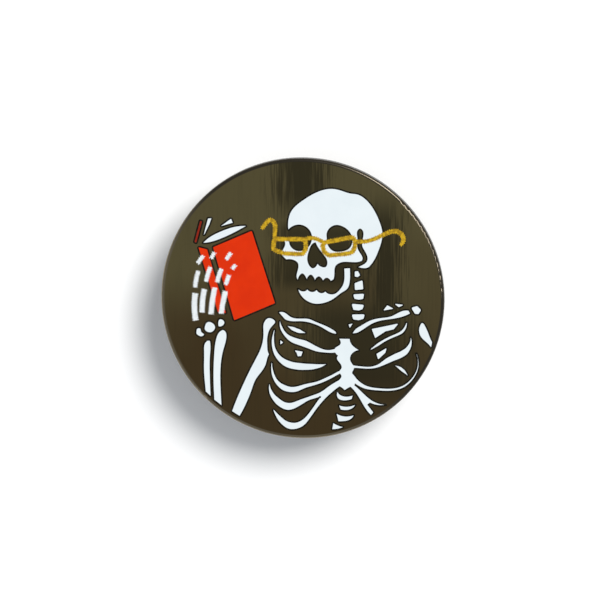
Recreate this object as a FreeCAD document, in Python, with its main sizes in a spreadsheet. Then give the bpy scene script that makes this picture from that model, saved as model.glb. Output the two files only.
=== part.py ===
import FreeCAD, Part
import math
import os
import Sketcher
from FreeCAD import Placement, Rotation, Vector

# Round hard-enamel lapel pin lying face up on two butterfly clutches.
# Origin at the centre of the back face, +Z out of the face, +Y up the picture, +X to its right.

doc = FreeCAD.newDocument("enamel_pin")
os.makedirs("parts", exist_ok=True)

# ---------------------------------------------------------------- driving dimensions, mm

SIZES = {
    "pin_radius": 19.0,
    "pin_thickness": 1.6,
    "face_edge_round": 0.4,
    "back_edge_round": 0.35,
    "enamel_depth": 0.4,
    "print_thickness": 0.05,
    "post_offset": 9.5,
    "seat_radius": 2.8,
    "seat_depth": 0.25,
    "pad_radius": 2.5,
    "pad_proud": 0.05,
    "weld_round": 0.12,
    "shank_radius": 0.55,
    "straight_end": 2.45,
    "shank_end_radius": 0.5,
    "notch_top": 6.0,
    "notch_radius": 0.36,
    "notch_length": 0.5,
    "tip_start": 6.9,
    "tip_end": 7.8,
    "tip_radius": 0.08,
    "cap_gap": 2.3,
    "cap_radius": 5.65,
    "cap_sheet": 0.3,
    "cap_height": 2.1,
    "cap_shoulder": 0.8,
    "cap_lip": 0.35,
    "cap_hole_radius": 0.72,
    "pip_radius": 0.4,
    "pip_height": 0.18,
    "pip_ring": 3.5,
    "pip_count": 6,
    "plate_radius": 5.2,
    "plate_top": 1.45,
    "spring_sheet": 0.35,
    "window_length": 5.3,
    "window_width": 4.2,
    "ear_width": 1.3,
    "ear_bottom": 2.75,
    "wing_width": 4.6,
    "fulcrum_out": 1.4,
    "jaw_notch_radius": 0.58,
}

sheet = doc.addObject("Spreadsheet::Sheet", "Dimensions")
for row, (name, value) in enumerate(SIZES.items(), start=1):
    sheet.set("A%d" % row, name)
    sheet.set("B%d" % row, str(value))
    sheet.setAlias("B%d" % row, name)
doc.recompute()


def size(name):
    """A driving dimension, read back from the sheet."""
    return float(sheet.get(name))


# ---------------------------------------------------------------- outline helpers


def vector(point):
    return Vector(point[0], point[1], 0)


def curve_through(points, closed=False):
    curve = Part.BSplineCurve()
    curve.interpolate(Points=[vector(p) for p in points], PeriodicFlag=closed)
    return curve


def line(start, end):
    return Part.LineSegment(vector(start), vector(end))


def blob(*points):
    """Closed smooth outline through the points."""
    return [curve_through(points, closed=True)]


def outline(*stretches):
    """Closed outline in stretches, each running on from the last point of the one before.

    A stretch of one point is straight, a longer one is a smooth curve; corners fall between stretches.
    """
    curves = []
    start = stretches[-1][-1]
    for stretch in stretches:
        if len(stretch) == 1:
            curves.append(line(start, stretch[0]))
        else:
            curves.append(curve_through([start] + list(stretch)))
        start = stretch[-1]
    return curves


def plate(radius, *corners):
    """Straight-sided closed outline with every corner rounded."""
    arcs = []
    for i, corner in enumerate(corners):
        here = vector(corner)
        back = (vector(corners[i - 1]) - here).normalize()
        ahead = (vector(corners[(i + 1) % len(corners)]) - here).normalize()
        half = back.getAngle(ahead) / 2
        run = radius / math.tan(half)
        inward = (back + ahead).normalize()
        middle = here + inward * (radius / math.sin(half) - radius)
        arcs.append((here + back * run, middle, here + ahead * run))
    curves = []
    for i, (start, middle, end) in enumerate(arcs):
        curves.append(Part.LineSegment(arcs[i - 1][2], start))
        curves.append(Part.Arc(start, middle, end))
    return curves


def sides(curve, stations):
    """Points on both sides of a centre line at and midway between its (x, y, width) stations."""
    places = [(curve.parameter(vector(s)), s[2]) for s in stations]
    middles = [((a[0] + b[0]) / 2, (a[1] + b[1]) / 2) for a, b in zip(places, places[1:])]
    left = []
    right = []
    for place, width in sorted(places + middles):
        here = curve.value(place)
        along = Vector(curve.tangent(place)[0])
        across = Vector(-along.y, along.x, 0) * (width / 2)
        left.append(here + across)
        right.append(here - across)
    return left, right


def bone(*stations):
    """Closed smooth outline round a curved centre line of (x, y, width) stations, with round ends."""
    centre = curve_through([s[:2] for s in stations])
    left, right = sides(centre, stations)
    caps = []
    for parameter, way, width in (
        (centre.FirstParameter, -1, stations[0][2]),
        (centre.LastParameter, 1, stations[-1][2]),
    ):
        along = Vector(centre.tangent(parameter)[0]) * way
        across = Vector(-along.y, along.x, 0)
        end = centre.value(parameter)
        spokes = [along * math.cos(t) + across * math.sin(t) for t in (math.pi / 4, 0, -math.pi / 4)]
        caps.append([end + spoke * (width / 2) for spoke in spokes])
    return blob(*reversed(right), *caps[0], *left, *caps[1])


def bar(width, *points):
    """Outline of a band of even width along a centre line, with square ends."""
    left, right = sides(curve_through(points), [(x, y, width) for x, y in points])
    return outline(left[1:], [right[-1]], right[-2::-1], [left[0]])


def hoop(width, radius, *corners):
    """The two outlines of a band of even width whose centre line is a rounded convex polygon."""
    outlines = []
    for shift in (width / 2, -width / 2):
        moved = []
        for i, corner in enumerate(corners):
            here = vector(corner)
            back = (vector(corners[i - 1]) - here).normalize()
            ahead = (vector(corners[(i + 1) % len(corners)]) - here).normalize()
            outward = (back + ahead).normalize() * -1
            moved.append(here + outward * (shift / math.sin(back.getAngle(ahead) / 2)))
        outlines += plate(radius + shift, *moved)
    return outlines


# ---------------------------------------------------------------- the picture, mm from the pin's centre

SKULL = [
    outline(
        # over the top of the head and down the back of it
        [(-1.9, 10.3), (-1.45, 11.95), (0.0, 13.35), (2.0, 14.55), (4.1, 15.0), (5.3, 14.75), (6.4, 14.42),
         (7.4, 14.28), (8.35, 13.75), (9.5, 12.4), (10.35, 10.65), (10.72, 9.3), (10.62, 8.0), (10.24, 6.8),
         (9.85, 5.85), (9.1, 4.7)],
        [(8.75, 4.43), (8.0, 4.38), (7.45, 4.5)],
        # up the channel between the back of the head and the cheekbone, round the temple and down again
        [(8.2, 4.9)],
        [(8.72, 5.7), (8.4, 6.6), (8.0, 7.4), (8.07, 8.3), (8.16, 9.1), (8.02, 9.5), (7.74, 9.68),
         (7.46, 9.48),
         (7.34, 9.0), (7.42, 8.3), (7.38, 7.3), (7.75, 6.45), (8.1, 5.75), (8.0, 5.35)],
        # cheekbone
        [(6.6, 5.15), (5.1, 5.05), (4.5, 4.6), (4.35, 3.6), (4.22, 2.8)],
        # upper teeth
        [(3.85, 2.55)],
        [(3.58, 2.88), (3.32, 2.99), (3.05, 2.88), (2.8, 2.55)],
        [(2.54, 3.0), (2.25, 3.16), (1.96, 3.0), (1.7, 2.55)],
        [(1.46, 3.17), (1.17, 3.38), (0.86, 3.17), (0.6, 2.52)],
        [(0.34, 3.3), (0.03, 3.53), (-0.27, 3.32), (-0.55, 2.6)],
        # up the front of the face
        [(-0.75, 3.4), (-0.55, 4.2), (-0.6, 4.95), (-1.3, 5.38), (-2.1, 5.38)],
        [(-2.5, 5.75), (-2.75, 6.2), (-2.5, 6.9), (-2.42, 7.95)],
        [(-1.7, 7.95)],
        # round the left eye socket, open at the left
        [(-1.62, 7.4), (-1.25, 6.9), (-0.5, 6.6), (0.5, 6.85), (1.2, 7.8), (1.15, 9.1), (0.4, 9.9),
         (-0.6, 10.1), (-1.4, 9.8), (-1.85, 9.4)],
    ),
    # right eye socket
    blob((3.3, 8.6), (3.6, 9.6), (4.4, 10.1), (5.4, 9.95), (6.3, 9.25), (6.7, 8.0), (6.3, 7.05), (5.2, 6.6),
         (4.1, 6.7), (3.45, 7.5)),
    # nose
    outline(
        [(2.25, 6.9), (2.95, 6.0), (3.35, 5.2), (3.15, 4.5), (2.5, 4.55), (2.05, 5.05)],
        [(1.85, 4.55), (1.45, 4.3), (0.95, 4.7), (0.72, 5.5), (0.95, 6.7), (1.4, 7.55), (1.8, 7.75)],
    ),
]

JAW = [
    outline(
        [(-0.15, 1.2), (0.25, 1.15), (0.7, 1.45)],
        [(1.05, 1.15), (1.5, 1.1), (1.95, 1.42)],
        [(2.25, 1.05), (2.7, 0.95), (3.1, 1.2)],
        [(3.6, 0.85), (4.3, 0.85), (5.0, 1.4), (5.5, 2.2), (5.65, 3.1), (5.62, 4.32)],
        [(6.42, 4.38)],
        [(6.45, 3.4), (6.38, 2.4), (6.1, 1.6), (5.3, 1.0), (4.2, 0.15), (3.0, -0.4), (1.8, -0.55),
         (0.7, -0.2),
         (-0.1, 0.5), (-0.55, 1.5)],
    ),
]

NECK = [
    plate(0.14, (7.02, 3.95), (7.5, 4.0), (7.8, 3.4), (7.45, 3.15), (7.02, 3.2)),
    plate(0.16, (7.0, 2.35), (8.1, 2.8), (8.22, 1.5), (7.05, 1.38)),
    plate(0.18, (6.8, 0.85), (8.35, 0.97), (8.2, 0.2), (7.6, 0.08), (7.0, 0.2)),
    plate(0.18, (6.6, -0.42), (8.35, -0.55), (8.1, -1.2), (7.6, -1.38), (6.85, -1.3)),
    plate(0.18, (6.6, -1.88), (8.45, -1.82), (8.25, -2.5), (7.6, -2.7), (6.85, -2.6)),
    plate(0.06, (6.2, -3.25), (6.85, -3.08), (6.4, -3.8)),
]

LEFT_COLLARBONE = [
    outline(
        [(-2.2, -1.85), (-1.5, -2.35), (-0.2, -2.55), (1.05, -2.62), (1.65, -2.88), (3.15, -3.48),
         (4.55, -4.3)],
        [(4.6, -4.58)],
        [(4.1, -4.5), (2.8, -3.82), (1.65, -3.3), (-0.25, -2.95), (-1.2, -2.98), (-2.3, -2.72)],
        [(-3.15, -1.75)],
    ),
]

RIGHT_COLLARBONE = [
    outline(
        [(7.1, -3.95), (7.95, -3.35), (8.9, -2.78), (10.4, -2.33), (11.95, -2.05), (12.8, -1.6),
         (13.55, -1.28),
         (14.25, -1.25)],
        [(14.48, -1.65)],
        [(13.9, -1.95), (12.2, -2.42), (10.45, -2.72), (9.3, -3.18), (8.35, -3.82), (7.35, -4.42)],
        [(6.78, -4.5)],
    ),
]

SHOULDER_BLADE = [
    plate(0.08, (10.8, -1.35), (11.4, -0.55), (12.35, -1.05)),
    plate(0.08, (12.25, -0.32), (13.7, -0.48), (12.95, -0.85)),
    plate(0.2, (14.55, -0.85), (15.4, -0.6), (15.95, -1.15), (15.6, -1.75), (15.1, -1.72)),
]

RIGHT_UPPER_ARM = [
    outline(
        [(16.15, -2.9), (16.5, -3.35), (16.95, -4.35), (17.45, -5.5)],
        [(17.3, -6.25)],
        [(16.55, -5.45), (15.85, -4.7), (15.65, -4.0), (15.75, -3.35)],
    ),
]

STERNUM = outline(
    [(6.42, -5.2)],
    [(6.6, -5.85), (7.0, -6.3), (7.72, -6.75)],
    [(6.9, -7.07), (6.52, -7.6), (6.52, -8.2), (6.85, -8.75), (7.0, -9.25), (6.78, -9.75), (6.85, -10.3),
     (7.1, -11.5)],
    [(6.35, -11.85), (5.75, -12.25)],
    [(5.27, -11.85), (4.9, -11.65)],
    [(4.85, -11.0), (5.27, -10.3), (4.98, -9.7), (5.27, -9.25), (5.2, -8.75), (4.68, -8.0), (4.8, -7.52)],
    [(4.4, -7.0), (4.42, -6.5), (4.75, -6.25), (4.95, -5.2)],
)

RIBCAGE = [
    [STERNUM],
    [
        # left ribs from the top down
        bone((-2.98, -2.95, 0.06), (-2.85, -3.7, 0.32), (-2.2, -4.8, 0.48), (-1.2, -5.5, 0.78),
             (0.4, -6.0, 0.92), (1.75, -6.6, 0.72), (3.1, -6.95, 0.42), (4.7, -6.8, 0.5)),
        bone((-4.08, -8.6, 0.06), (-4.0, -9.9, 0.32), (-3.45, -11.2, 0.5), (-2.4, -12.05, 0.78),
             (-1.0, -12.25, 0.74), (0.3, -11.8, 0.55), (1.9, -11.35, 0.42), (3.5, -10.65, 0.44),
             (5.2, -9.72, 0.36)),
        bone((-4.4, -11.6, 0.08), (-4.2, -12.7, 0.48), (-3.3, -13.9, 0.85), (-1.9, -14.6, 1.0),
             (-0.6, -14.2, 0.8), (0.8, -13.5, 0.5), (2.5, -12.85, 0.55), (4.0, -11.85, 0.68),
             (5.2, -11.15, 0.66)),
        # right ribs from the top down
        bone((6.6, -9.0, 0.5), (7.2, -9.02, 0.34), (8.0, -9.08, 0.3), (9.2, -9.1, 0.3), (10.3, -8.8, 0.42),
             (11.5, -8.1, 0.75), (12.9, -7.42, 0.88), (13.8, -6.9, 0.8), (14.4, -6.1, 0.5),
             (14.6, -5.4, 0.22),
             (14.55, -4.9, 0.06)),
        bone((6.5, -10.3, 0.9), (7.5, -11.2, 0.6), (8.4, -11.72, 0.48), (9.3, -11.95, 0.38),
             (10.4, -12.05, 0.34),
             (11.6, -12.08, 0.32), (13.6, -11.6, 0.28), (14.93, -10.36, 0.21), (15.5, -9.15, 0.16),
             (15.58, -8.1, 0.11), (15.31, -7.03, 0.06)),
    ],
    [
        bone((-3.82, -15.15, 0.14), (-3.1, -16.2, 0.6), (-1.6, -17.25, 0.95), (-0.2, -17.0, 0.8),
             (0.85, -16.0, 0.55), (1.7, -14.8, 0.5), (2.5, -13.7, 0.6), (3.7, -12.4, 0.7), (5.2, -11.3, 0.6)),
        # lowest right rib with its strut
        outline(
            [(8.15, -12.52), (9.65, -13.72), (10.5, -14.03), (11.4, -14.1)],
            [(10.4, -14.22), (9.15, -13.9)],
            [(8.81, -14.16)],
            [(9.63, -15.22)],
            [(9.29, -15.6)],
            [(8.15, -14.07), (7.3, -12.65), (6.8, -12.05)],
            [(6.5, -11.75)],
            [(6.5, -11.2)],
            [(7.09, -11.56)],
        ),
    ],
]

LEFT_FREE_RIBS = [
    bone((-1.95, -3.6, 0.06), (-1.25, -3.95, 0.52), (-0.4, -4.28, 0.56), (0.5, -4.52, 0.06)),
    bone((-3.7, -4.1, 0.06), (-3.92, -5.4, 0.32), (-3.8, -6.7, 0.44), (-3.2, -7.85, 0.66),
         (-2.0, -8.75, 0.95),
         (-0.3, -9.1, 0.98), (1.4, -9.1, 0.8), (2.5, -8.95, 0.46), (3.25, -8.72, 0.06)),
]

RIGHT_FREE_RIBS = [
    plate(0.1, (9.3, -3.82), (13.0, -2.98), (12.3, -3.85), (11.2, -4.15), (9.8, -5.1)),
    bone((9.25, -6.6, 0.14), (10.1, -6.0, 0.36), (11.2, -5.28, 0.35), (12.5, -4.65, 0.35),
         (13.4, -4.15, 0.38),
         (13.85, -3.5, 0.28), (14.0, -2.95, 0.12)),
]

BACK_RIBS = [
    plate(0.05, (-2.95, -5.5), (-2.5, -5.85), (-2.95, -6.2)),
    plate(0.08, (-1.1, -6.85), (0.12, -7.05), (-0.1, -7.7), (-0.6, -7.75), (-0.75, -7.25)),
    plate(0.1, (9.95, -7.2), (11.42, -6.3), (11.2, -7.05), (10.2, -8.02)),
    bone((12.5, -8.75, 0.06), (13.15, -9.1, 0.42), (13.65, -9.5, 0.4), (14.2, -10.1, 0.06)),
]

LUMBAR = [
    outline(
        [(5.2, -12.92), (5.95, -13.1), (6.85, -12.9)],
        [(6.7, -13.45)],
        [(5.95, -13.65), (5.0, -13.5), (4.75, -12.4)],
    ),
    outline(
        [(5.9, -14.48), (7.2, -14.18)],
        [(6.75, -14.72), (6.0, -14.98), (5.2, -14.92)],
        [(4.95, -14.3)],
    ),
    outline(
        [(5.6, -15.8), (7.0, -15.62)],
        [(6.4, -16.3), (5.7, -16.5), (4.9, -16.55)],
        [(4.62, -15.45)],
    ),
    outline(
        [(4.9, -17.1), (5.6, -17.3)],
        [(4.9, -17.55), (4.05, -17.65)],
        [(4.2, -16.75)],
    ),
]

RADIUS = [
    outline(
        [(-10.28, -4.55), (-10.18, -5.3), (-10.6, -7.0), (-10.95, -9.0), (-11.0, -12.0), (-10.88, -14.65)],
        [(-11.9, -13.85)],
        [(-12.0, -10.5), (-11.9, -7.8), (-11.6, -5.5), (-11.2, -4.6), (-10.65, -4.25)],
    ),
]

ULNA = [
    outline(
        [(-12.4, -5.78)],
        [(-12.33, -6.6), (-12.42, -8.0), (-12.45, -10.2), (-12.35, -13.4)],
        [(-13.05, -12.75)],
        [(-13.28, -9.6), (-13.25, -7.2), (-13.15, -6.2), (-12.75, -5.75)],
    ),
]

LEFT_UPPER_ARM = [
    outline(
        [(-4.1, -2.6), (-3.6, -3.05), (-4.05, -3.7), (-4.5, -4.5), (-4.68, -5.5), (-4.66, -6.4),
         (-4.6, -7.1), (-4.42, -7.5)],
        [(-4.62, -7.9), (-4.85, -8.8), (-5.45, -9.9), (-6.25, -11.0), (-6.75, -12.3), (-7.5, -14.2),
         (-8.45, -16.05)],
        [(-9.5, -15.4)],
        [(-7.95, -11.6), (-6.5, -8.6), (-5.7, -7.0), (-5.35, -5.9), (-5.22, -4.5), (-5.2, -3.4),
         (-4.8, -2.7)],
    ),
]

WRIST = [
    blob((-14.25, -4.4), (-14.0, -4.08), (-13.72, -4.12), (-13.55, -4.6), (-13.2, -4.95), (-13.45, -5.2),
         (-13.95, -5.12), (-14.25, -4.85)),
    blob((-13.1, -3.75), (-12.4, -3.2), (-11.7, -3.9), (-12.3, -4.65), (-13.0, -4.45)),
    blob((-11.32, -3.4), (-10.85, -2.82), (-10.45, -3.2), (-10.75, -3.75), (-11.15, -3.85)),
]

BOOK_COVER = [plate(0.14, (-11.98, 6.95), (-6.72, 9.25), (-3.6, -0.55), (-9.15, -2.98))]
BOOK_SPINE = [plate(0.1, (-13.95, 6.95), (-12.72, 6.65), (-10.2, -2.02), (-11.35, -1.9))]
BOOK_BACK = [plate(0.06, (-13.68, 10.5), (-13.37, 10.42), (-14.17, 7.48), (-14.47, 7.6))]

BOOK_PAGES = [
    outline(
        [(-12.31, 8.36), (-10.97, 9.06), (-9.63, 9.58), (-7.42, 9.88)],
        [(-9.2, 8.88), (-10.74, 8.15), (-12.3, 7.61), (-13.31, 7.48)],
    ),
    plate(0.05, (-12.62, 10.83), (-12.1, 10.87), (-12.4, 10.0), (-13.3, 8.2), (-13.05, 9.25)),
    plate(0.05, (-11.05, 9.7), (-9.5, 10.85), (-9.25, 10.25)),
]

FINGER_BONES = [
    # fingertips
    bar(0.52, (-13.29, 5.8), (-14.03, 4.7)),
    bar(0.48, (-11.75, 6.25), (-12.2, 5.39)),
    bar(0.5, (-9.53, 6.22), (-10.2, 5.28)),
    bar(0.48, (-8.96, 4.6), (-9.37, 4.0)),
    # middle bones
    bar(0.56, (-13.92, 3.7), (-14.22, 2.6), (-14.38, 1.46)),
    bar(0.56, (-12.31, 4.27), (-12.65, 3.3), (-12.91, 2.25)),
    bar(0.56, (-10.81, 4.04), (-11.15, 3.15), (-11.41, 2.2)),
    bar(0.55, (-9.81, 3.22), (-10.26, 1.85)),
    # palm bones
    bar(0.73, (-14.37, 0.66), (-14.5, -1.27), (-14.32, -3.03)),
    bar(0.69, (-13.12, 1.24), (-13.4, -0.4), (-13.46, -1.94)),
    bar(0.69, (-11.75, 1.47), (-12.12, -0.69), (-12.27, -2.18)),
    bar(0.67, (-10.3, 1.01), (-10.65, -0.6), (-10.88, -2.07)),
]

GLASSES = [
    [
        # both lenses
        hoop(0.58, 0.5, (-3.75, 8.16), (0.48, 8.16), (0.5, 6.8), (0.05, 6.16), (-2.37, 6.22), (-3.88, 6.7)),
        hoop(0.58, 0.5, (2.66, 7.7), (7.04, 8.62), (7.06, 7.2), (6.7, 6.5), (5.9, 6.3), (3.6, 6.04),
             (2.95, 6.5)),
    ],
    [
        # hook at the left, bridge, then the arm at the right with its own hook
        bone((-5.25, 9.65, 0.52), (-4.85, 10.25, 0.56), (-4.2, 10.72, 0.56), (-3.75, 10.35, 0.56),
             (-3.62, 9.3, 0.56), (-3.64, 8.2, 0.5)),
        bone((0.4, 8.1, 0.5), (1.1, 8.35, 0.52), (1.9, 8.25, 0.52), (2.85, 7.78, 0.5)),
        bone((7.0, 8.0, 0.5), (7.9, 7.95, 0.54), (9.0, 8.1, 0.54), (10.4, 8.7, 0.56), (11.6, 9.25, 0.58),
             (12.6, 9.4, 0.6), (13.3, 8.95, 0.6), (13.5, 8.2, 0.56), (13.22, 7.65, 0.44)),
    ],
]

# ---------------------------------------------------------------- bodies


def plane(body, role):
    return next(f for f in body.Origin.OriginFeatures if f.Role == role)


def new_body(label):
    body = doc.addObject("PartDesign::Body", label)
    body.Label = label
    return body


def new_sketch(body, name, curves, role="XY_Plane", height=None):
    """A sketch of the body on one of its own origin planes, lifted by the height expression."""
    sketch = body.newObject("Sketcher::SketchObject", name)
    sketch.AttachmentSupport = (plane(body, role), [""])
    sketch.MapMode = "FlatFace"
    if height:
        sketch.setExpression("AttachmentOffset.Base.z", height)
    sketch.addGeometry(curves, False)
    return sketch


def new_pad(body, name, sketch, length):
    pad = body.newObject("PartDesign::Pad", name)
    pad.Profile = sketch
    pad.setExpression("Length", length)
    return pad


def raised(label, layers, height, length):
    """A body of upright outlines; each layer is a list of outlines that don't touch, and layers join."""
    body = new_body(label)
    for i, outlines in enumerate(layers):
        curves = [curve for one in outlines for curve in one]
        sketch = new_sketch(body, "%s_outline_%d" % (label, i), curves, height=height)
        new_pad(body, "%s_pad_%d" % (label, i), sketch, length)
        doc.recompute()
    return body


def enamel(label, *layers):
    """Enamel filled flush with the face."""
    height = "Dimensions.pin_thickness - Dimensions.enamel_depth"
    return raised(label, layers, height, "Dimensions.enamel_depth")


def printed(label, *layers):
    """A printed layer on top of the polished face."""
    return raised(label, layers, "Dimensions.pin_thickness", "Dimensions.print_thickness")


def circles(radius, *centres):
    return [Part.Circle(Vector(x, y, 0), Vector(0, 0, 1), radius) for x, y in centres]


def bind_radius(sketch, name, expression):
    """Every circle of the sketch takes its radius from the sheet."""
    for i in range(sketch.GeometryCount):
        constraint = "%s_%d" % (name, i)
        sketch.renameConstraint(sketch.addConstraint(Sketcher.Constraint("Radius", i, 1.0)), constraint)
        sketch.setExpression("Constraints." + constraint, expression)


def rectangle(left, bottom, right, top):
    corners = [(left, bottom), (right, bottom), (right, top), (left, top)]
    return [line(corners[i - 1], corners[i]) for i in range(4)]


def edges_at(shape, height, radius):
    """Names of the shape's full circular edges at a height and radius."""
    names = []
    for i, edge in enumerate(shape.Edges, start=1):
        box = edge.BoundBox
        if abs(box.ZMin - height) < 0.01 and abs(box.ZMax - height) < 0.01 and abs(box.XMax - radius) < 0.01:
            names.append("Edge%d" % i)
    return names


def fillet(body, name, base, edges, radius):
    doc.recompute()
    feature = body.newObject("PartDesign::Fillet", name)
    feature.Base = (base, edges)
    feature.setExpression("Radius", radius)
    return feature


def pocket(body, name, sketch, length=None):
    """A pocket up from the sketch, or through everything above and below it when no length is given."""
    feature = body.newObject("PartDesign::Pocket", name)
    feature.Profile = sketch
    feature.Reversed = True
    if length:
        feature.setExpression("Length", length)
    else:
        feature.Type = "ThroughAll"
        feature.Midplane = True
    return feature


# ---------------------------------------------------------------- enamel and print

enamels = [
    enamel("enamel_skull", SKULL),
    enamel("enamel_jaw", JAW),
    enamel("enamel_neck", NECK),
    enamel("enamel_left_collarbone", LEFT_COLLARBONE),
    enamel("enamel_right_collarbone", RIGHT_COLLARBONE),
    enamel("enamel_shoulder_blade", SHOULDER_BLADE),
    enamel("enamel_right_upper_arm", RIGHT_UPPER_ARM),
    enamel("enamel_ribcage", *RIBCAGE),
    enamel("enamel_left_free_ribs", LEFT_FREE_RIBS),
    enamel("enamel_right_free_ribs", RIGHT_FREE_RIBS),
    enamel("enamel_back_ribs", BACK_RIBS),
    enamel("enamel_lumbar", LUMBAR),
    enamel("enamel_radius", RADIUS),
    enamel("enamel_ulna", ULNA),
    enamel("enamel_left_upper_arm", LEFT_UPPER_ARM),
    enamel("enamel_wrist", WRIST),
    enamel("enamel_book_cover", BOOK_COVER),
    enamel("enamel_book_spine", BOOK_SPINE),
    enamel("enamel_book_back", BOOK_BACK),
    enamel("enamel_book_pages", BOOK_PAGES),
]
nodes = enamels + [
    printed("print_finger_bones", FINGER_BONES),
    printed("print_glasses", *GLASSES),
]

# ---------------------------------------------------------------- stamped base

blank = new_body("pin_blank")
disc_sketch = new_sketch(blank, "disc_outline", circles(1.0, (0, 0)))
bind_radius(disc_sketch, "disc", "Dimensions.pin_radius")
disc = new_pad(blank, "disc", disc_sketch, "Dimensions.pin_thickness")
doc.recompute()
face_edge = fillet(
    blank, "face_edge", disc, edges_at(disc.Shape, size("pin_thickness"), size("pin_radius")),
    "Dimensions.face_edge_round",
)
doc.recompute()
back_rim = edges_at(face_edge.Shape, 0, size("pin_radius"))
back_edge = fillet(blank, "back_edge", face_edge, back_rim, "Dimensions.back_edge_round")
offset = size("post_offset")
seat_sketch = new_sketch(blank, "seat_outlines", circles(1.0, (-offset, 0), (offset, 0)))
bind_radius(seat_sketch, "seat", "Dimensions.seat_radius")
pocket(blank, "post_seats", seat_sketch, "Dimensions.seat_depth")
doc.recompute()

cells = doc.addObject("Part::Compound", "cells")
cells.Links = enamels
base = doc.addObject("Part::Cut", "pin_base")
base.Label = "pin_base"
base.Base = blank
base.Tool = cells
nodes.append(base)

# ---------------------------------------------------------------- posts


def primitive(kind, name, height_at, **expressions):
    """A primitive about its own Z, based at a height expression, its sizes bound to the sheet."""
    shape = doc.addObject("Part::" + kind, name)
    shape.setExpression("Placement.Base.z", height_at)
    for key, expression in expressions.items():
        shape.setExpression(key, expression)
    return shape


def stack(label, pieces, side):
    """Coaxial primitives joined into one sub-part on the post's axis."""
    joined = doc.addObject("Part::MultiFuse", label)
    joined.Label = label
    joined.Shapes = pieces
    joined.Refine = True
    joined.setExpression("Placement.Base.x", "%d * Dimensions.post_offset" % side)
    return joined


def post(label, side):
    """Pad, shank, gripping notch and point, from the top down."""
    d = "Dimensions."
    weld_top = "-%spad_proud" % d
    pieces = [
        primitive("Cylinder", label + "_pad", weld_top, Radius=d + "pad_radius",
                  Height="%sseat_depth + %spad_proud" % (d, d)),
        primitive("Cone", label + "_weld", "-%spad_proud - %sweld_round" % (d, d), Radius1=d + "shank_radius",
                  Radius2=d + "shank_radius + " + d + "weld_round", Height=d + "weld_round"),
        primitive("Cylinder", label + "_straight", "-%sstraight_end" % d, Radius=d + "shank_radius",
                  Height="%sstraight_end - %spad_proud" % (d, d)),
        primitive("Cone", label + "_taper", "-%snotch_top" % d, Radius1=d + "shank_end_radius",
                  Radius2=d + "shank_radius", Height="%snotch_top - %sstraight_end" % (d, d)),
        primitive("Cylinder", label + "_notch", "-%snotch_top - %snotch_length" % (d, d),
                  Radius=d + "notch_radius", Height=d + "notch_length"),
        primitive("Cylinder", label + "_collar", "-%stip_start" % d, Radius=d + "shank_end_radius",
                  Height="%stip_start - %snotch_top - %snotch_length" % (d, d, d)),
        primitive("Cone", label + "_point", "-%stip_end" % d, Radius1=d + "tip_radius",
                  Radius2=d + "shank_end_radius", Height="%stip_end - %stip_start" % (d, d)),
    ]
    return stack(label, pieces, side)


def solder(label, side):
    """Ring of solder filling the seat round the pad."""
    d = "Dimensions."
    outer = primitive("Cylinder", label + "_outer", "0", Radius=d + "seat_radius", Height=d + "seat_depth")
    inner = primitive("Cylinder", label + "_inner", "0", Radius=d + "pad_radius", Height=d + "seat_depth")
    ring = doc.addObject("Part::Cut", label)
    ring.Label = label
    ring.Base = outer
    ring.Tool = inner
    ring.setExpression("Placement.Base.x", "%d * Dimensions.post_offset" % side)
    return ring


# ---------------------------------------------------------------- butterfly clutches


def on_post(body, side, turned=0):
    """Moves a clutch piece, drawn with its cap's face at height 0, onto its post."""
    body.Placement = Placement(Vector(0, 0, 0), Rotation(Vector(0, 0, 1), turned))
    body.setExpression("Placement.Base.x", "%d * Dimensions.post_offset" % side)
    body.setExpression("Placement.Base.z", "-Dimensions.cap_gap")
    return body


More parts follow.
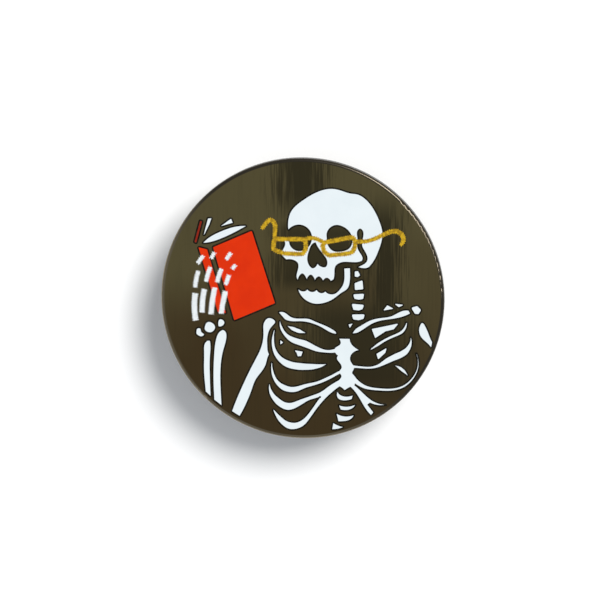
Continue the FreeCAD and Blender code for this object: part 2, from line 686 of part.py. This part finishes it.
def cap(label, side):
    """Drawn cup with a dimpled hole for the post, pips that bite the cloth and an inturned lip."""
    body = new_body(label)
    sketch = new_sketch(body, label + "_outline", circles(1.0, (0, 0)), height="-Dimensions.cap_height")
    bind_radius(sketch, "cup", "Dimensions.cap_radius")
    cup = new_pad(body, label + "_cup", sketch, "Dimensions.cap_height")
    doc.recompute()
    rim = edges_at(cup.Shape, 0, size("cap_radius"))
    fillet(body, label + "_shoulder", cup, rim, "Dimensions.cap_shoulder")
    foot = "-Dimensions.cap_height"
    hollow_sketch = new_sketch(body, label + "_hollow_outline", circles(1.0, (0, 0)), height=foot)
    bind_radius(hollow_sketch, "hollow", "Dimensions.cap_radius - Dimensions.cap_sheet")
    hollow = pocket(body, label + "_hollow", hollow_sketch, "Dimensions.cap_height - Dimensions.cap_sheet")
    doc.recompute()
    inner = edges_at(hollow.Shape, -size("cap_sheet"), size("cap_radius") - size("cap_sheet"))
    fillet(body, label + "_bend", hollow, inner, "Dimensions.cap_shoulder - Dimensions.cap_sheet")
    doc.recompute()
    lip_outer = size("cap_radius") - size("cap_sheet")
    ring = circles(lip_outer, (0, 0)) + circles(lip_outer - size("cap_lip"), (0, 0))
    lip_sketch = new_sketch(body, label + "_lip_outline", ring, height=foot)
    new_pad(body, label + "_lip", lip_sketch, "Dimensions.cap_sheet")
    doc.recompute()
    hole_sketch = new_sketch(body, label + "_hole_outline", circles(1.0, (0, 0)))
    bind_radius(hole_sketch, "hole", "Dimensions.cap_hole_radius")
    pocket(body, label + "_hole", hole_sketch)
    doc.recompute()
    count = int(size("pip_count"))
    turns = [2 * math.pi * i / count for i in range(count)]
    centres = [(size("pip_ring") * math.cos(t), size("pip_ring") * math.sin(t)) for t in turns]
    pip_sketch = new_sketch(body, label + "_pip_outlines", circles(1.0, *centres))
    bind_radius(pip_sketch, "pip", "Dimensions.pip_radius")
    pips = new_pad(body, label + "_pips", pip_sketch, "Dimensions.pip_height")
    doc.recompute()
    tops = enumerate(pips.Shape.Edges, start=1)
    rims = ["Edge%d" % i for i, edge in tops if edge.BoundBox.ZMin > size("pip_height") - 0.01]
    fillet(body, label + "_pip_rounds", pips, rims, "Dimensions.pip_height * 0.9")
    doc.recompute()
    return on_post(body, side)


def spring(label, side):
    """Plate held by the cap's lip, with a window for the wings and four ears that carry them."""
    body = new_body(label)
    bottom = "-Dimensions.plate_top - Dimensions.spring_sheet"
    half_length = size("window_length") / 2
    half_width = size("window_width") / 2
    sketch = new_sketch(
        body, label + "_outline",
        circles(size("plate_radius"), (0, 0)) + rectangle(-half_length, -half_width, half_length, half_width),
        height=bottom,
    )
    new_pad(body, label + "_plate", sketch, "Dimensions.spring_sheet")
    doc.recompute()
    inside = size("wing_width") / 2
    curves = []
    for x in (-half_length, inside):
        for y in (-size("fulcrum_out"), size("fulcrum_out")):
            half_ear = size("ear_width") / 2
            curves += rectangle(x, y - half_ear, x + half_length - inside, y + half_ear)
    ears = new_sketch(body, label + "_ear_outlines", curves, height="-Dimensions.ear_bottom")
    new_pad(body, label + "_ears", ears, "Dimensions.ear_bottom - Dimensions.plate_top")
    doc.recompute()
    return on_post(body, side)


# side view of a wing from its jaw, past the fulcrum, to its thumb end: (out from the post, up)
WING_PATH = [(0.42, -1.15), (1.0, -1.25), (1.4, -1.7), (1.45, -2.4), (1.9, -3.4), (3.2, -4.75), (4.6, -5.52),
             (5.3, -5.44)]


def wing(label, side, turned):
    """Bent strip: jaw against the post, fulcrum between the ears, then the thumb wing."""
    body = new_body(label)
    sheet_metal = size("spring_sheet")
    side_view = bone(*[(y, z, sheet_metal) for y, z in WING_PATH])
    sketch = new_sketch(body, label + "_side", side_view, role="YZ_Plane")
    bent = new_pad(body, label + "_strip", sketch, "Dimensions.wing_width")
    bent.Midplane = True
    doc.recompute()
    edge = size("wing_width") / 2
    curves = circles(size("jaw_notch_radius"), (0, 0))
    for s in (-1, 1):
        arc = [(s * edge, 4.1), (s * (edge - 0.4), 5.1), (s * (edge - 1.3), 5.5)]
        corner = Part.Arc(*[vector(p) for p in arc])
        corners = [(s * (edge - 1.3), 5.5), (s * (edge - 1.3), 6.0), (s * (edge + 0.3), 6.0),
                   (s * (edge + 0.3), 4.1), (s * edge, 4.1)]
        curves += [corner] + [line(start, end) for start, end in zip(corners, corners[1:])]
    trim = new_sketch(body, label + "_plan", curves)
    pocket(body, label + "_trim", trim)
    doc.recompute()
    return on_post(body, side, turned)


for name, side in (("left", -1), ("right", 1)):
    nodes += [
        post("post_" + name, side),
        solder("solder_" + name, side),
        cap("clutch_%s_cap" % name, side),
        spring("clutch_%s_spring" % name, side),
        wing("clutch_%s_wing_upper" % name, side, 0),
        wing("clutch_%s_wing_lower" % name, side, 180),
    ]

# ---------------------------------------------------------------- check and export

doc.recompute()
for thing in doc.Objects:
    if "Invalid" in thing.State or "Error" in thing.State:
        raise RuntimeError("%s: %s" % (thing.Name, thing.State))
for node in nodes:
    if node.Shape.isNull() or not node.Shape.isValid() or not node.Shape.Solids:
        raise RuntimeError("%s has no valid solid" % node.Label)
    node.Shape.exportStep("parts/%s.step" % node.Label)
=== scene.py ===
"""Looks for the enamel pin: polished black nickel, flush enamel, printed ink and bright nickel clutches."""
import math
import random

import bpy
from mathutils import Matrix, Vector

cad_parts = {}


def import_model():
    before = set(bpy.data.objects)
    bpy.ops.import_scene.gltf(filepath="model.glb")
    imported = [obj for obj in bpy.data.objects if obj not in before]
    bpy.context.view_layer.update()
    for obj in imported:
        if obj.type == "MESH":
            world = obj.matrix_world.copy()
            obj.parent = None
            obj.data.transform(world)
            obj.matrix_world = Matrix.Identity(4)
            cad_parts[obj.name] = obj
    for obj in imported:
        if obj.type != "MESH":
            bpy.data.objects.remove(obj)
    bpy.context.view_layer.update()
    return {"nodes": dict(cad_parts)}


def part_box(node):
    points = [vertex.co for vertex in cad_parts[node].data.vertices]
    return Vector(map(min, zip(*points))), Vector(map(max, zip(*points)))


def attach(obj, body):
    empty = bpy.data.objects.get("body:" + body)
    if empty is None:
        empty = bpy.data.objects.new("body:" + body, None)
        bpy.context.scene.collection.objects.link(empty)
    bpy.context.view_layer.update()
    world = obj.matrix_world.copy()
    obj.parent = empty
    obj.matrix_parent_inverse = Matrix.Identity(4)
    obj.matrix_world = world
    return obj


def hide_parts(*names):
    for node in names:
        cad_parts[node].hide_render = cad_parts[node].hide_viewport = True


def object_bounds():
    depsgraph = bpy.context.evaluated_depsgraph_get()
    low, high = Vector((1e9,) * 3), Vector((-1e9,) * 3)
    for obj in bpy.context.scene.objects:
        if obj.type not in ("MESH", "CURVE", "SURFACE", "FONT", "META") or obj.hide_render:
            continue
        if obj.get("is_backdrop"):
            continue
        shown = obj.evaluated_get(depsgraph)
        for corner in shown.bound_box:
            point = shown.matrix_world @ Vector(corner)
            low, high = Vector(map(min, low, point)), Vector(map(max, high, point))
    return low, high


MM = 0.001

# plating colours, with the painted reflections laid into the face and rim
FACE_OLIVE = (0.186, 0.152, 0.067)
FACE_BROWN = (0.108, 0.071, 0.030)
FACE_DARK = (0.044, 0.038, 0.020)
BACK_GREY = (0.140, 0.128, 0.095)
WALL_DARK = (0.018, 0.015, 0.012)
WALL_PALE = (0.085, 0.078, 0.065)
RIM_DARK = (0.060, 0.051, 0.037)
RIM_REFLECTION = (0.250, 0.208, 0.138)

# metal lip round each cell: distance out from the cell's outline and rise above the face, in millimetres
LIP = ((-0.05, -0.020), (-0.03, 0.004), (0.05, 0.012), (0.15, 0.009), (0.21, -0.006))
LIP_STEP = 0.08

# printed ink, in millimetres
INK_HALF = 0.015
SAMPLE = 0.048
TOOTH_PITCH = 0.29
BONE_TOOTH = 0.19
GLASSES_TOOTH = 0.17

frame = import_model()
nodes = frame["nodes"]
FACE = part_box("pin_base")[1].z

# where the plating changes, in metres: heights of the back and of the rim's rounding, radii of rim and wall
BACK_HEIGHT = (0.00030, 0.00045)
RIM_HEIGHT = (0.0011, 0.0013)
RIM_RADIUS = (0.01852, 0.01860)
WALL_RADIUS = (0.01885, 0.01896)

# camera and light
CAMERA_LEAN = 11.0
CAMERA_TURN = 63
CAMERA_TARGET = Vector((-0.28 * MM, -0.05 * MM, FACE))
VIEW_WIDTH = 80.2 * MM
KEY_AZIMUTH = 48
KEY_ELEVATION = 49
KEY_STRENGTH = 2.95
KEY_SPREAD = 27
KEY_COLOUR = (1.0, 0.99, 0.97)
SKY_COLOUR = (0.92, 0.955, 1.0)
SKY_STRENGTH = 0.475


# ---------------------------------------------------------------- materials


class Look:
    """A node material built from its shader backwards."""

    def __init__(self, name, **sockets):
        self.material = bpy.data.materials.new(name)
        self.material.use_nodes = True
        self.tree = self.material.node_tree
        self.shader = self.tree.nodes["Principled BSDF"]
        self.place = self.add("ShaderNodeTexCoord").outputs["Object"]
        self.set(**sockets)

    def add(self, kind, inputs=None, **settings):
        made = self.tree.nodes.new(kind)
        for key, value in settings.items():
            setattr(made, key, value)
        for key, value in (inputs or {}).items():
            self.feed(made.inputs[key], value)
        return made

    def feed(self, socket, value):
        if isinstance(value, bpy.types.NodeSocket):
            self.tree.links.new(value, socket)
        elif isinstance(value, tuple) and len(value) == 3 and socket.type == "RGBA":
            socket.default_value = (*value, 1)
        else:
            socket.default_value = value

    def set(self, **sockets):
        for key, value in sockets.items():
            self.feed(self.shader.inputs[key.replace("_", " ")], value)

    def math(self, operation, a, b=0.0, clamp=False):
        return self.add("ShaderNodeMath", {0: a, 1: b}, operation=operation, use_clamp=clamp).outputs[0]

    def stretched(self, x, y, z):
        """The place on the object with each axis scaled, in cycles per millimetre."""
        return self.add(
            "ShaderNodeVectorMath", {0: self.place, 1: (x / MM, y / MM, z / MM)}, operation="MULTIPLY"
        ).outputs[0]

    def noise(self, vector, detail=2.0, rough=0.5, scale=1.0):
        inputs = {"Vector": vector, "Scale": scale, "Detail": detail, "Roughness": rough}
        return self.add("ShaderNodeTexNoise", inputs).outputs[0]

    def ramp(self, factor, low, high, start=0.0, end=1.0):
        """The factor between low and high, mapped smoothly on to start and end."""
        inputs = {"Value": factor, "From Min": low, "From Max": high, "To Min": start, "To Max": end}
        return self.add("ShaderNodeMapRange", inputs, interpolation_type="SMOOTHSTEP").outputs[0]

    def mix(self, factor, a, b):
        mixer = self.add("ShaderNodeMix", data_type="RGBA")
        self.feed(mixer.inputs[0], factor)
        self.feed(mixer.inputs[6], a)
        self.feed(mixer.inputs[7], b)
        return mixer.outputs[2]

    def hump(self, value, middle, half, reach):
        """1 within half of the middle, falling to 0 at its reach."""
        away = self.math("ABSOLUTE", self.math("SUBTRACT", value, middle))
        return self.ramp(away, half, reach, 1.0, 0.0)

    def bump(self, height, distance, strength=1.0, normal=None):
        inputs = {"Height": height, "Distance": distance, "Strength": strength}
        if normal:
            inputs["Normal"] = normal
        return self.add("ShaderNodeBump", inputs).outputs[0]

    def axis(self, name):
        return self.add("ShaderNodeSeparateXYZ", {0: self.place}).outputs[name]


def black_nickel():
    """Black plating: brushed and polished face with painted reflections (a brown-to-olive slope and dark
    streaked patches), a painted floor reflection on the rim, ringed wall, blasted back.
    """
    look = Look("black_nickel", Metallic=1.0)
    across, up, height = (look.axis(name) for name in "XYZ")
    flat = look.add("ShaderNodeVectorMath", {0: look.place, 1: (1, 1, 0)}, operation="MULTIPLY").outputs[0]
    radius = look.add("ShaderNodeVectorMath", {0: flat}, operation="LENGTH").outputs["Value"]
    lines = look.noise(look.stretched(4.5, 0.16, 0.16), detail=4, rough=0.6)
    fine = look.noise(look.stretched(16.0, 0.2, 0.2), detail=2)
    cloud = look.noise(look.stretched(0.06, 0.045, 0.05), detail=2)
    grain = look.noise(look.stretched(9.0, 9.0, 9.0), detail=2)
    rings = look.noise(look.stretched(0.5, 0.5, 9.0), detail=3, rough=0.6)

    # painted reflection: darker brown towards the foot of the picture, olive towards its head
    warm = look.math("ADD", up, look.ramp(cloud, 0.3, 0.7, -0.006, 0.006))
    tone = look.mix(look.ramp(warm, -0.012, 0.009), FACE_BROWN, FACE_OLIVE)
    # painted reflection of a mirrored room's dark areas: four dark patches with streaked sides, fixed to the
    # surface
    streaked = look.math("ADD", across, look.ramp(lines, 0.3, 0.7, -0.0016, 0.0016))

    def dark_reflection(upright, middle, half, reach):
        return look.math("MULTIPLY", upright, look.hump(streaked, middle, half, reach))

    crown = dark_reflection(look.ramp(up, 0.009, 0.0145), -0.0002, 0.0012, 0.0048)
    nape = dark_reflection(look.hump(up, 0.004, 0.006, 0.0115), 0.0110, 0.0006, 0.0034)
    chest = dark_reflection(look.hump(up, -0.0065, 0.0035, 0.0085), 0.0075, 0.004, 0.0095)
    brow = dark_reflection(look.hump(up, 0.006, 0.003, 0.0055), 0.002, 0.004, 0.0072)
    middle = look.math("MULTIPLY", look.math("MAXIMUM", chest, brow), 0.9)
    # all four painted reflections together, mixed towards FACE_DARK
    dark_reflections = look.math("MULTIPLY", look.math("MAXIMUM", look.math("MAXIMUM", crown, nape), middle), 0.8)
    tone = look.mix(dark_reflections, tone, FACE_DARK)
    tone = look.mix(look.ramp(lines, 0.45, 0.75, 0.0, 0.14), tone, FACE_DARK)

    # blasted back, ringed wall, and a painted reflection of the floor on the rounding at the rim of the
    # face, lighter towards the lower left
    back = look.ramp(height, *BACK_HEIGHT, 1.0, 0.0)
    wall = look.ramp(radius, *WALL_RADIUS)
    rim = look.math("MULTIPLY", look.ramp(radius, *RIM_RADIUS), look.ramp(height, *RIM_HEIGHT))
    tone = look.mix(look.math("MULTIPLY", back, 0.7), tone, BACK_GREY)
    tone = look.mix(wall, tone, look.mix(look.ramp(rings, 0.38, 0.66), WALL_DARK, WALL_PALE))
    # painted floor reflection on the rim's rounding: lighter towards the lower left, unevenly, dark towards
    # the upper right
    foot = look.ramp(look.math("ADD", across, up), -0.016, 0.004, 1.0, 0.0)
    rim_reflection = look.math("MULTIPLY", foot, look.ramp(cloud, 0.3, 0.6, 0.6, 1.0))
    tone = look.mix(rim, tone, look.mix(rim_reflection, RIM_DARK, RIM_REFLECTION))
    look.set(Base_Color=tone)

    polished = look.ramp(fine, 0.2, 0.8, 0.10, 0.17)
    worked = look.math("MAXIMUM", look.math("MULTIPLY", wall, 0.7), look.math("MULTIPLY", rim, 0.4))
    worked = look.math("MAXIMUM", back, worked)
    look.set(Roughness=look.add("ShaderNodeMix", {0: worked, 2: polished, 3: 0.42}).outputs[0])
    brushed = look.bump(look.math("ADD", lines, look.math("MULTIPLY", fine, 0.4)), 0.0000012)
    ringed = look.math("MULTIPLY", look.math("MULTIPLY", rings, wall), 0.5)
    blasted = look.math("ADD", look.math("MULTIPLY", grain, back), ringed)
    look.set(Normal=look.bump(blasted, 0.00003, normal=brushed))
    return look.material


def enamel(name, colour, deep, speck):
    """Hard enamel polished flush: a deep even colour, faint clouding, rare specks and fine hairlines."""
    look = Look(name, IOR=1.5, Specular_IOR_Level=0.16)
    cloud = look.noise(look.stretched(0.35, 0.35, 0.35), detail=3)
    dots = look.noise(look.stretched(1.1, 1.1, 1.1), detail=0)
    hair = look.noise(look.stretched(12.0, 0.3, 0.3), detail=2)
    tone = look.mix(look.ramp(cloud, 0.3, 0.7), colour, deep)
    look.set(Base_Color=look.mix(look.ramp(dots, 0.875, 0.90), tone, speck))
    look.set(Roughness=look.ramp(hair, 0.3, 0.8, 0.12, 0.22))
    look.set(Normal=look.bump(cloud, 0.00001, normal=look.bump(hair, 0.0000006)))
    return look.material


def ink(name, colour, deep, amount):
    """Screen-printed ink: slightly uneven where the mesh laid it down, with a fine grain."""
    look = Look(name, IOR=1.48, Specular_IOR_Level=0.2)
    mesh_marks = look.noise(look.stretched(3.6, 3.6, 1.0), detail=1)
    grain = look.noise(look.stretched(9.0, 9.0, 1.0), detail=2)
    tone = look.mix(look.ramp(mesh_marks, 0.44, 0.58, 0.0, amount), colour, deep)
    look.set(Base_Color=look.mix(look.ramp(grain, 0.5, 0.75, 0.0, amount * 0.8), tone, deep))
    look.set(Roughness=look.ramp(grain, 0.2, 0.8, 0.32, 0.5))
    look.set(Normal=look.bump(mesh_marks, 0.00001, normal=look.bump(grain, 0.000004)))
    return look.material


def bright_nickel(name, base, dull, rough):
    """Plated sheet or wire: rolling lines, faint tarnish and rub marks."""
    look = Look(name, Metallic=1.0)
    rolled = look.noise(look.stretched(4.0, 0.2, 4.0), detail=3)
    tarnish = look.noise(look.stretched(0.5, 0.5, 0.5), detail=3)
    look.set(Base_Color=look.mix(look.ramp(tarnish, 0.35, 0.8), base, dull))
    marks = look.math("ADD", rolled, look.math("MULTIPLY", tarnish, 0.5))
    look.set(Roughness=look.ramp(marks, 0.4, 1.1, rough, rough + 0.12))
    look.set(Normal=look.bump(rolled, 0.0000012, normal=look.bump(tarnish, 0.0000025)))
    return look.material


def edge_metal():
    """The metal lip round each enamel cell, in a near-black tone that varies unevenly."""
    look = Look("cell_edge", Metallic=1.0)
    wear = look.noise(look.stretched(1.2, 1.2, 1.2), detail=2)
    look.set(Base_Color=look.mix(look.ramp(wear, 0.35, 0.7), (0.016, 0.014, 0.010), (0.036, 0.031, 0.021)))
    look.set(Roughness=look.ramp(wear, 0.2, 0.8, 0.3, 0.42))
    return look.material


def paint(node, material):
    mesh = nodes[node].data
    mesh.materials.clear()
    mesh.materials.append(material)


METAL = black_nickel()
EDGE = edge_metal()
WHITE = enamel("white_enamel", (0.735, 0.795, 0.820), (0.710, 0.772, 0.800), (0.36, 0.40, 0.41))
RED = enamel("red_enamel", (0.680, 0.030, 0.0003), (0.630, 0.025, 0.0003), (0.30, 0.02, 0.002))
DARK_RED = enamel("dark_red_enamel", (0.26, 0.018, 0.006), (0.22, 0.014, 0.005), (0.10, 0.01, 0.005))
WHITE_INK = ink("white_ink", (0.76, 0.80, 0.82), (0.60, 0.62, 0.62), 0.4)
YELLOW_INK = ink("yellow_ink", (0.585, 0.365, 0.012), (0.300, 0.170, 0.006), 0.9)
NICKEL = bright_nickel("bright_nickel", (0.74, 0.72, 0.67), (0.64, 0.61, 0.55), 0.16)
SPRING = bright_nickel("spring_nickel", (0.68, 0.66, 0.61), (0.58, 0.55, 0.49), 0.2)
SOLDER = bright_nickel("solder", (0.42, 0.41, 0.38), (0.30, 0.29, 0.27), 0.38)

for name in nodes:
    if name.startswith("enamel_"):
        paint(name, WHITE)
paint("enamel_book_cover", RED)
paint("enamel_book_spine", RED)
paint("enamel_book_back", DARK_RED)
paint("pin_base", METAL)
for side in ("left", "right"):
    paint("post_" + side, NICKEL)
    paint("solder_" + side, SOLDER)
    paint("clutch_%s_cap" % side, NICKEL)
    paint("clutch_%s_spring" % side, SPRING)
    paint("clutch_%s_wing_upper" % side, SPRING)
    paint("clutch_%s_wing_lower" % side, SPRING)


# ---------------------------------------------------------------- outlines read from the frame


def top_loops(node):
    """The closed outlines of a node's top face, each with the face on its left."""
    mesh = nodes[node].data
    top = max(v.co.z for v in mesh.vertices)
    sides = {}
    for face in mesh.polygons:
        points = [mesh.vertices[i].co for i in face.vertices]
        if min(p.z for p in points) < top - 1e-6 or face.normal.z < 0.5:
            continue
        keys = [(round(p.x / MM, 4), round(p.y / MM, 4)) for p in points]
        for a, b in zip(keys, keys[1:] + keys[:1]):
            if (b, a) in sides:
                del sides[(b, a)]
            else:
                sides[(a, b)] = True
    following = {}
    for a, b in sides:
        following.setdefault(a, []).append(b)
    loops = []
    while following:
        start = next(iter(following))
        loop = [start]
        while True:
            here = loop[-1]
            if here not in following:
                break
            onward = following[here].pop()
            if not following[here]:
                del following[here]
            if onward == start:
                break
            loop.append(onward)
        if len(loop) > 2:
            loops.append([Vector(p) for p in loop])
    return loops


def resampled(loop, step):
    """The loop at even spacing."""
    spans = [(b - a).length for a, b in zip(loop, loop[1:] + loop[:1])]
    total = sum(spans)
    count = max(8, round(total / step))
    points = []
    i = 0
    passed = 0.0
    for k in range(count):
        want = total * k / count
        while passed + spans[i] < want:
            passed += spans[i]
            i += 1
        a, b = loop[i], loop[(i + 1) % len(loop)]
        points.append(a.lerp(b, (want - passed) / spans[i] if spans[i] else 0))
    return points


def outward(loop, i):
    """Unit vector away from the face at a point of its outline."""
    along = loop[(i + 1) % len(loop)] - loop[i - 1]
    away = Vector((along.y, -along.x))
    return away.normalized() if away.length else away


def as_piece(name, mesh, material, body):
    piece = bpy.data.objects.new(name, mesh)
    bpy.context.scene.collection.objects.link(piece)
    mesh.materials.append(material)
    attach(piece, body)
    return piece


# ---------------------------------------------------------------- metal lip round each enamel cell


def cell_edges():
    """One bead of metal round every enamel cell, standing a hundredth of a millimetre proud."""
    points = []
    faces = []
    wide = len(LIP)
    for node in nodes:
        if not node.startswith("enamel_"):
            continue
        for loop in top_loops(node):
            even = resampled(loop, LIP_STEP)
            first = len(points)
            for i, p in enumerate(even):
                away = outward(even, i)
                for reach, rise in LIP:
                    q = p + away * reach
                    points.append((q.x * MM, q.y * MM, FACE + rise * MM))
            for i in range(len(even)):
                a = first + i * wide
                b = first + (i + 1) % len(even) * wide
                for k in range(wide - 1):
                    faces.append((a + k, a + k + 1, b + k + 1, b + k))
    mesh = bpy.data.meshes.new("cell_edges")
    mesh.from_pydata(points, [], faces)
    mesh.polygons.foreach_set("use_smooth", [True] * len(faces))
    return as_piece("cell_edges", mesh, EDGE, "pin")


edges = cell_edges()


# ---------------------------------------------------------------- printed ink


def printed(node, name, material, tooth):
    """The printed layer with the stepped edge that the screen's mesh leaves."""
    chance = random.Random(7)
    curve = bpy.data.curves.new(name, "CURVE")
    curve.dimensions = "2D"
    curve.fill_mode = "BOTH"
    curve.extrude = INK_HALF * MM
    for loop in top_loops(node):
        even = resampled(loop, SAMPLE)
        spline = curve.splines.new("POLY")
        spline.points.add(len(even) - 1)
        for i, p in enumerate(even):
            row = i * SAMPLE / TOOTH_PITCH
            step = tooth * (abs(row % 1.0 - 0.5) * 2 - 0.5) + chance.uniform(-0.25, 0.25) * tooth
            q = p + outward(even, i) * step
            spline.points[i].co = (q.x * MM, q.y * MM, 0, 1)
        spline.use_cyclic_u = True
    shape = bpy.data.objects.new(name + "_shape", curve)
    bpy.context.scene.collection.objects.link(shape)
    mesh = bpy.data.meshes.new_from_object(shape)
    bpy.data.objects.remove(shape)
    mesh.name = name
    mesh.materials.clear()
    for v in mesh.vertices:
        v.co.z += FACE + INK_HALF * MM
    piece = as_piece(name, mesh, material, "pin")
    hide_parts(node)
    return piece


printed("print_finger_bones", "ink_finger_bones", WHITE_INK, BONE_TOOTH)
printed("print_glasses", "ink_glasses", YELLOW_INK, GLASSES_TOOTH)

# ---------------------------------------------------------------- floor, light and camera


def floor():
    mesh = bpy.data.meshes.new("floor")
    reach = 3.0
    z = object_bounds()[0].z
    corners = [(-reach, -reach, z), (reach, -reach, z), (reach, reach, z), (-reach, reach, z)]
    mesh.from_pydata(corners, [], [(0, 1, 2, 3)])
    piece = bpy.data.objects.new("floor", mesh)
    bpy.context.scene.collection.objects.link(piece)
    look = Look("floor_white", Roughness=0.9, Base_Color=(1.0, 1.0, 1.0), Specular_IOR_Level=0.0)
    mesh.materials.append(look.material)
    piece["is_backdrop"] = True


def sun(name, azimuth, elevation, strength, spread, colour):
    lamp = bpy.data.lights.new(name, "SUN")
    lamp.energy = strength
    lamp.angle = math.radians(spread)
    lamp.color = colour
    piece = bpy.data.objects.new(name, lamp)
    a, e = math.radians(azimuth), math.radians(elevation)
    towards = Vector((math.cos(a) * math.cos(e), math.sin(a) * math.cos(e), math.sin(e)))
    piece.rotation_euler = towards.to_track_quat("Z", "Y").to_euler()
    bpy.context.scene.collection.objects.link(piece)


def world(colour, strength):
    made = bpy.data.worlds.new("studio")
    made.use_nodes = True
    made.node_tree.nodes["Background"].inputs[0].default_value = (*colour, 1)
    made.node_tree.nodes["Background"].inputs[1].default_value = strength
    bpy.context.scene.world = made


def camera():
    """Nearly overhead, leaning a little towards the picture's upper right."""
    lens = bpy.data.cameras.new("camera")
    lens.sensor_width = 36
    lens.lens = 180
    eye = bpy.data.objects.new("camera", lens)
    bpy.context.scene.collection.objects.link(eye)
    lean, turn = math.radians(CAMERA_LEAN), math.radians(CAMERA_TURN)
    back = Vector((math.sin(lean) * math.cos(turn), math.sin(lean) * math.sin(turn), math.cos(lean)))
    distance = VIEW_WIDTH * lens.lens / lens.sensor_width
    eye.location = CAMERA_TARGET + back * distance
    right = Vector((0, 1, 0)).cross(back).normalized()
    up = back.cross(right)
    eye.rotation_mode = "QUATERNION"
    eye.rotation_quaternion = Matrix((right, up, back)).transposed().to_quaternion()
    lens.clip_start = 0.01
    lens.clip_end = 20
    bpy.context.scene.camera = eye


floor()
sun("key", KEY_AZIMUTH, KEY_ELEVATION, KEY_STRENGTH, KEY_SPREAD, KEY_COLOUR)
world(SKY_COLOUR, SKY_STRENGTH)
camera()
bpy.context.scene.view_settings.view_transform = "Standard"
